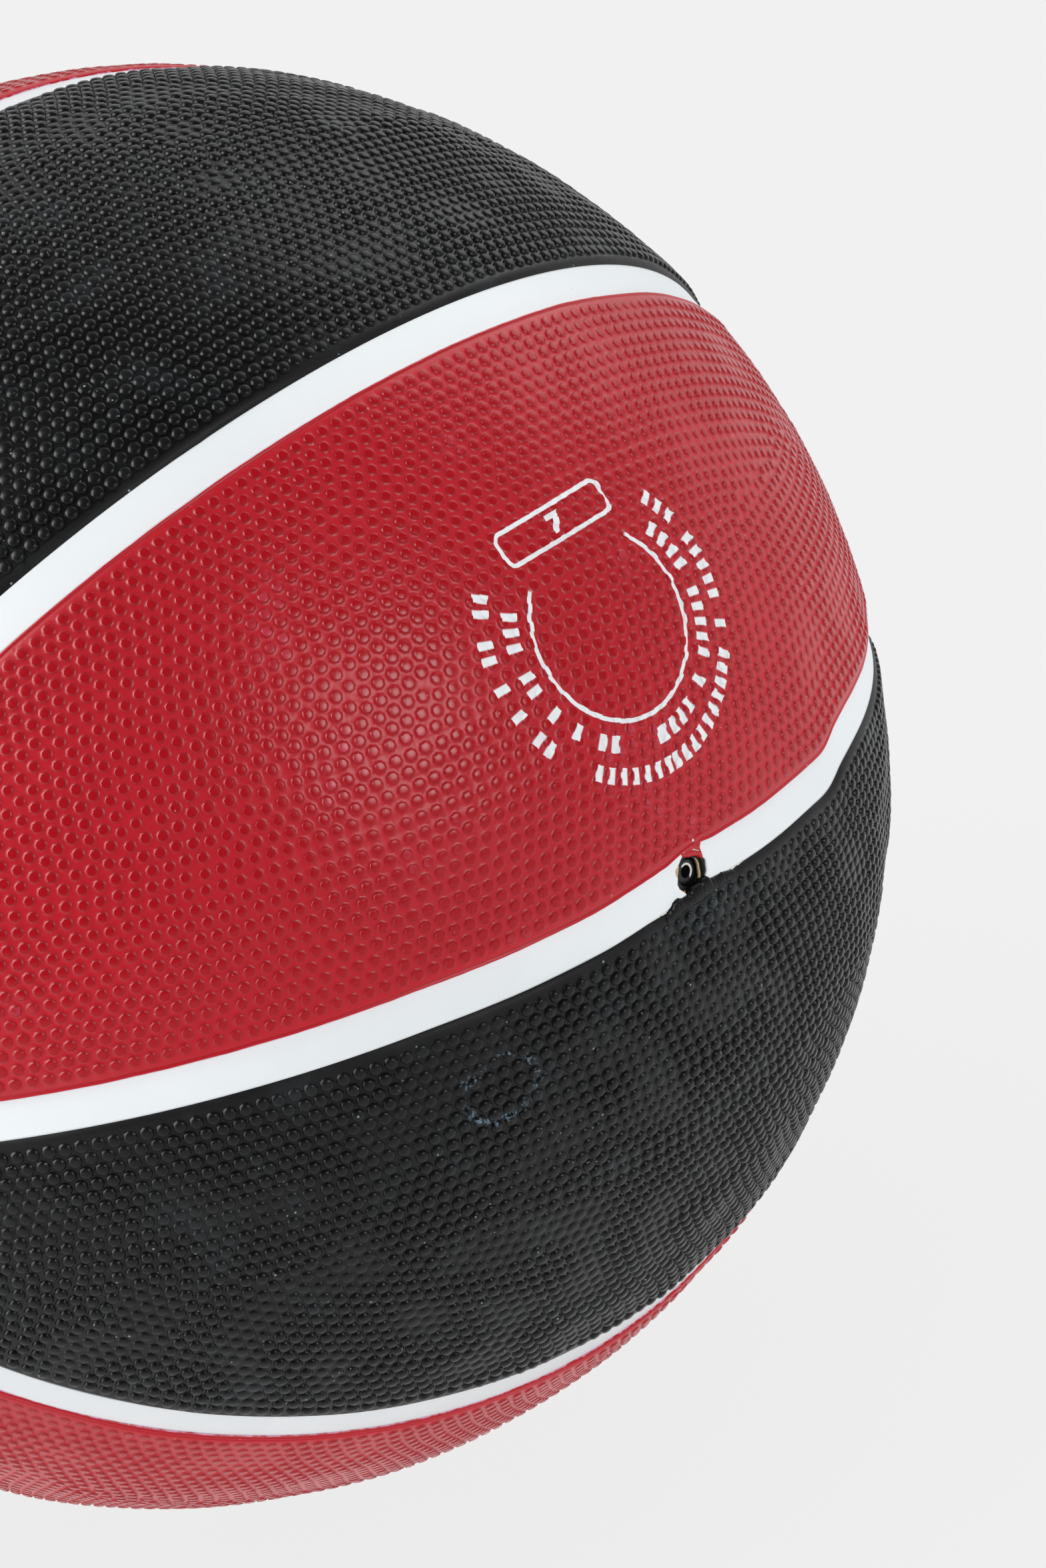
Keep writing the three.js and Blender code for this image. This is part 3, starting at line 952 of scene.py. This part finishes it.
def turned(profile, count=64):
    """A solid turned about the valve's axis, from a profile of radii and places along it."""
    radii, ahead = np.array(profile).T
    angles = np.linspace(0, 2 * np.pi, count, endpoint=False)[:, None]
    return tube(rounded(ahead, radii, angles), closed=True)


def spread(line, count):
    """Points evenly spaced along a line of points."""
    line = np.array(line, dtype=float)
    reach = np.concatenate([[0], np.cumsum(np.linalg.norm(np.diff(line, axis=0), axis=1))])
    return np.stack([np.interp(np.linspace(0, reach[-1], count), reach, column) for column in line.T], 1)


def lip(free, root, count, shares, depths, seed):
    """A cover's lip at the valve's hole, between a free edge and a root, both lines of Y and Z."""
    rng = np.random.default_rng(seed)
    near, far = spread(free, count), spread(root, count)
    near = near + rng.uniform(-LIP_RAG, LIP_RAG, near.shape)
    flat = near[:, None] + (far - near)[:, None] * np.array(shares)[:, None]
    rough = rng.uniform(-LIP_ROUGHNESS, LIP_ROUGHNESS, flat.shape[:2])
    depths = np.array(depths) + rough * (np.array(depths) < 1.3)
    ahead = np.sqrt((BALL_RADIUS - depths) ** 2 - (flat ** 2).sum(-1))
    return tube(np.concatenate([ahead[..., None], flat], -1))


def red_lip():
    """Two ridges of the red cover over the valve's hole, and a tongue that hangs into it."""
    return lip(
        free=((4.4, 4.4), (2.9, 3.3), (2.55, 2.4), (2.95, 0.9), (2.2, 1.6), (1.46, 2.2), (0.38, 2.42),
              (-1.16, 3.06), (-1.5, 3.95), (-3.6, 4.35), (-5.15, 4.2), (-6.3, 4.75)),
        root=((4.8, 5.0), (3.4, 5.3), (1.5, 5.7), (0, 5.9), (-2, 6.0), (-4, 5.7), (-6.3, 5.3)),
        shares=(0, 0, 0.12, 0.26, 0.34, 0.42, 0.56, 0.64, 0.74, 0.88, 1, 1),
        depths=(2.0, 1.28, 1.05, 1.0, 1.22, 0.82, 0.66, 0.92, 0.42, 0.3, 0.42, 1.6), count=72, seed=8)


def black_lip():
    """The lower cover's ragged edge at the valve."""
    return lip(
        free=((-7.5, -3.5), (-6.05, -2.95), (-5.1, -2.2), (-4, -2.25), (-3.3, -2.6), (-2.15, -2.6), (-0.8, -2.15),
              (0.97, -2.15), (1.62, -1.8), (2.6, -1.75), (3.3, -2.4), (4.55, -2.65), (6.1, -2.75), (8.5, -3.5)),
        root=((-7.5, -4.7), (8.5, -4.7)),
        shares=(0, 0, 0.1, 0.3, 0.55, 0.85, 1, 1),
        depths=(2.1, 1.3, 0.95, 0.76, 0.6, 0.52, 0.58, 1.6), count=90, seed=5)


def sliver(inner, outer, top, low):
    """A bent sliver about the valve's axis, thin at its ends, from its edges' angles and radii and two depths."""
    angles = np.linspace(inner[0][0], inner[-1][0], 24)
    thin = np.sin(np.linspace(0.12, np.pi - 0.12, 24)) ** 0.5
    near, far = (np.interp(angles, *zip(*edge)) for edge in (inner, outer))
    middle, half = (near + far) / 2, (far - near) / 2 * thin
    radii = middle[:, None] + half[:, None] * np.array([-1, -1, 1, 1])
    return tube(around_valve(angles, radii, np.array([low, top, top, low])))


def blob(place, size, seed):
    """A small lump at radius, angle and depth."""
    radius, angle, depth = place
    made = bmesh.new()
    bmesh.ops.create_icosphere(made, subdivisions=2, radius=size)
    rng = np.random.default_rng(seed)
    middle = around_valve(np.array([angle]), np.array([radius]), np.array([depth]))[0, 0]
    points = np.array([vertex.co for vertex in made.verts])
    points = points * rng.uniform(0.8, 1.2, (len(points), 1)) * [0.5, 0.8, 1.0] + middle
    faces = np.array([[vertex.index for vertex in face.verts] for face in made.faces])
    made.free()
    return points, faces


def add_valve(red, black, white):
    rubber = inner_finish("valve_rubber", VALVE_TONES, size=3, roughness=0.45)
    tan = inner_finish("torn_carcass", TORN_TONES, size=1.2, roughness=0.7)
    amber = inner_finish("old_glue", GLUE_TONES, size=0.6, roughness=0.3)
    core_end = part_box("valve_core")[0][0] / METRES
    plug = [(0, core_end), (CORE_RADIUS, core_end), (CORE_RADIUS, CORE_FACE - 0.12),
            (CORE_RADIUS - 0.12, CORE_FACE), (NEEDLE_RADIUS + 0.08, CORE_FACE), (NEEDLE_RADIUS, CORE_FACE - 0.1),
            (NEEDLE_RADIUS, CORE_FACE - NEEDLE_DEPTH), (0, CORE_FACE - NEEDLE_DEPTH)]
    boot = [(2.95, VALVE_FACE - 0.6), (2.95, VALVE_FACE + 0.1), (3.1, VALVE_FACE + 0.5), (3.3, VALVE_FACE + 0.6),
            (3.7, VALVE_FACE + 0.5), (3.7, VALVE_FACE - 0.6)]
    pieces = (
        ("red_lip", red_lip(), red, "red_cover"),
        ("black_lip", black_lip(), black, "black_cover"),
        ("valve_boot", turned(boot), rubber, "valve_rubber"),
        ("right_sliver", sliver(inner=((-66, 2.6), (-11, 2.08), (38, 2.3)),
                                outer=((-66, 3.4), (-30, 2.6), (-11, 2.34), (38, 2.5)), top=1.85, low=2.3),
         tan, "carcass_rubber"),
        ("left_sliver", sliver(inner=((138, 3.2), (166, 3.2)), outer=((138, 3.4), (152, 3.85), (166, 3.4)),
                               top=1.1, low=1.6), tan, "carcass_rubber"),
        ("glue_drop", blob((3.3, 232, 1.75), size=0.45, seed=1), amber, "carcass_rubber"),
        ("left_paint_drop", blob((6.2, 110, 0.4), size=0.3, seed=2), white, "white_strip"),
        ("right_paint_drop", blob((5.2, 79, 0.35), size=0.24, seed=3), white, "white_strip"),
    )
    for name, (points, faces), material, slot in pieces:
        attributes = {"inset": np.full(len(points), FACE_INSET), "rise": np.zeros(len(points))}
        add_piece(name, make_mesh(name, points, faces, attributes=attributes), material)
    add_piece("valve_core_looks", welded(make_mesh("valve_core", *turned(plug))), needle_seal(),
              ["valve_core"], body="plug")
    dress(rubber, "valve_body")


def add_panels(materials):
    made = {}
    for number, (node, shape, colour, sign_x, sign_z) in enumerate(PANELS):
        if (shape, colour) not in made:
            made[shape, colour] = cover(shape, colour, seed=10 * number + 3)
        points, faces, bake, attributes, owner = made[shape, colour]
        points = to_part(points * [sign_x, 1, sign_z])
        if node in ("valve_panel_upper", "valve_panel_lower"):
            points = parted(sagged(points))
        bake = bake.reshape(-1, 3, 2)
        if sign_x * sign_z < 0:
            faces, bake = faces[:, ::-1], bake[:, ::-1]
        mesh = make_mesh(node, points, faces, bake, attributes)
        crease(mesh, owner)
        material = materials.get(node, materials[colour])
        add_piece(node + "_looks", mesh, material, [node])


def dress(material, *nodes):
    for node in nodes:
        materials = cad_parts[node].data.materials
        materials.clear()
        materials.append(material)


def dress_layers():
    carcass = inner_finish("carcass_rubber", CARCASS_TONES, size=5, roughness=0.75)
    dress(carcass, "carcass_upper", "carcass_lower")
    dress(inner_finish("nylon_thread", THREAD_TONES, size=2, roughness=0.6), "thread_winding")
    dress(inner_finish("butyl", BUTYL_TONES, size=8, roughness=0.45), "bladder")


# Camera, floor and light. A lamp's place is in the camera's axes, right, up and back, and in metres like its size

LAMPS = (
    ("right_softbox", (0.65, 0.19, 0.88), 0.4, 3.1),
    ("left_softbox", (-1.02, -0.42, 0.48), 0.3, 2.4),
    ("upper_left_softbox", (-0.8, 0.62, 0.62), 0.52, 4.6),
    ("top_softbox", (0.5, 1.06, -0.15), 0.8, 2.9),
    ("low_softbox", (-0.48, -1.02, 0.35), 0.7, 5.6),
    ("rim_softbox", (1.0, -0.5, -0.1), 0.6, 3.2),
)
MIRRORED_LAMP = ("left_panel", (-1.1, 0.26, 0.45), 0.9, 18.0)
BACKDROP = linear(241, 241, 241)
ROOM_LIGHT = 0.57
DIM_ROOM = 0.05  # how bright the room behind the photograph's camera is in mirrors
ROOM_TURN = (-0.4, 0.5)  # from there to the room ahead: cosines of the angle from the camera's view
TABLE_TONE = linear(190, 190, 190)
TABLE_RADIUS = 4000
TABLE_MIRRORED = (-0.32, -0.04)  # metres along the view between which mirrors begin to show the table
SHADOW_REACH = (0.05, 0.3)  # metres from the table's middle over which the shadow fades
SHADOW_SHARE = 0.94  # the share of the backdrop's light that stays in it


def camera_axes():
    a, e, r = CAMERA_AZIMUTH, CAMERA_ELEVATION, CAMERA_ROLL
    back = Vector((math.sin(a) * math.cos(e), -math.cos(a) * math.cos(e), math.sin(e)))
    level = Vector((math.cos(a), math.sin(a), 0))
    upright = back.cross(level)
    right = level * math.cos(r) + upright * math.sin(r)
    return right, back.cross(right), back


def add_camera():
    right, up, back = camera_axes()
    x = (BALL_CENTRE_PIXEL[0] - PHOTO_SIZE[0] / 2) / FOCAL_PIXELS
    y = (PHOTO_SIZE[1] / 2 - BALL_CENTRE_PIXEL[1]) / FOCAL_PIXELS
    to_ball = (right * x + up * y - back).normalized() * CAMERA_DISTANCE * METRES
    data = bpy.data.cameras.new("photo_camera")
    data.sensor_width = SENSOR_WIDTH
    data.lens = FOCAL_PIXELS * SENSOR_WIDTH / max(PHOTO_SIZE)
    camera = add_object("photo_camera", data)
    camera.matrix_world = Matrix.Translation(-to_ball) @ Matrix((right, up, back)).transposed().to_4x4()
    bpy.context.scene.camera = camera


def add_softbox(name, place, size, watts, in_mirrors_only=False):
    right, up, back = camera_axes()
    data = bpy.data.lights.new(name, "AREA")
    data.size = size
    data.energy = watts
    lamp = add_object(name, data)
    lamp.location = right * place[0] + up * place[1] + back * place[2]
    lamp.rotation_euler = lamp.location.to_track_quat("Z", "Y").to_euler()
    lamp.visible_diffuse = not in_mirrors_only


def add_world():
    """An even room. In mirrors it is dim behind the photograph's camera and as pale as the backdrop ahead of it."""
    world = bpy.data.worlds.new("studio")
    bpy.context.scene.world = world
    nodes = Nodes(world)
    way = nodes.add("TexCoord").outputs["Generated"]
    along = nodes.along(way, -camera_axes()[2])
    ahead = nodes.add("MapRange", Value=along, From_Min=ROOM_TURN[0], From_Max=ROOM_TURN[1])
    glossy = nodes.add("LightPath").outputs["Is Glossy Ray"]
    room = nodes.tree.nodes["Background"]
    nodes.feed(room.inputs["Color"], (1, 1, 1, 1))
    nodes.feed(room.inputs["Strength"], nodes.math("MULTIPLY_ADD", glossy, DIM_ROOM - ROOM_LIGHT, ROOM_LIGHT))
    backdrop = nodes.add("Background", Color=BACKDROP)
    nodes.show("World Output", nodes.background_rays(ahead.outputs["Result"]), room, backdrop)


def add_floor():
    """A pale table that lets light through. To the camera it is the backdrop with a faint shadow."""
    look = Finish("floor")
    spot = look.add("VectorMath", dict(operation="LENGTH"), i0=look.place)
    look.set(Base_Color=TABLE_TONE, Roughness=0.9)
    glow = look.add("Emission", Color=BACKDROP)
    clear = look.lerp(look.ramp(spot.outputs["Value"], *SHADOW_REACH), SHADOW_SHARE, 1.0)
    mirrored = look.ramp(look.along(look.place, -camera_axes()[2]), *TABLE_MIRRORED)
    fade = look.times(clear, look.background_rays(mirrored))
    look.show("Material Output", fade, look.shader, glow)
    ring = circle(np.linspace(0, 2 * np.pi, 96, endpoint=False)) * TABLE_RADIUS
    mesh = bpy.data.meshes.new("floor")
    mesh.from_pydata(ring * METRES, [], [range(len(ring))])
    mesh.materials.append(look.material)
    floor = add_object("floor", mesh)
    floor.location.z = -BALL_RADIUS * METRES
    floor.visible_shadow = False


bpy.context.scene.view_settings.view_transform = "Standard"
add_camera()
add_world()
add_floor()
for lamp in LAMPS:
    add_softbox(*lamp)
add_softbox(*MIRRORED_LAMP, in_mirrors_only=True)
covers = {
    "red": red_cover("red_cover"),
    "black": black_cover("black_cover"),
    "valve_panel_upper": red_cover("printed_cover", with_print=True),
    "valve_panel_lower": black_cover("chalked_cover", ragged=0.6, with_chalk=True),
}
paint = white_strip()
add_panels(covers)
add_strips(paint)
add_valve(covers["red"], covers["black"], paint)
dress_layers()
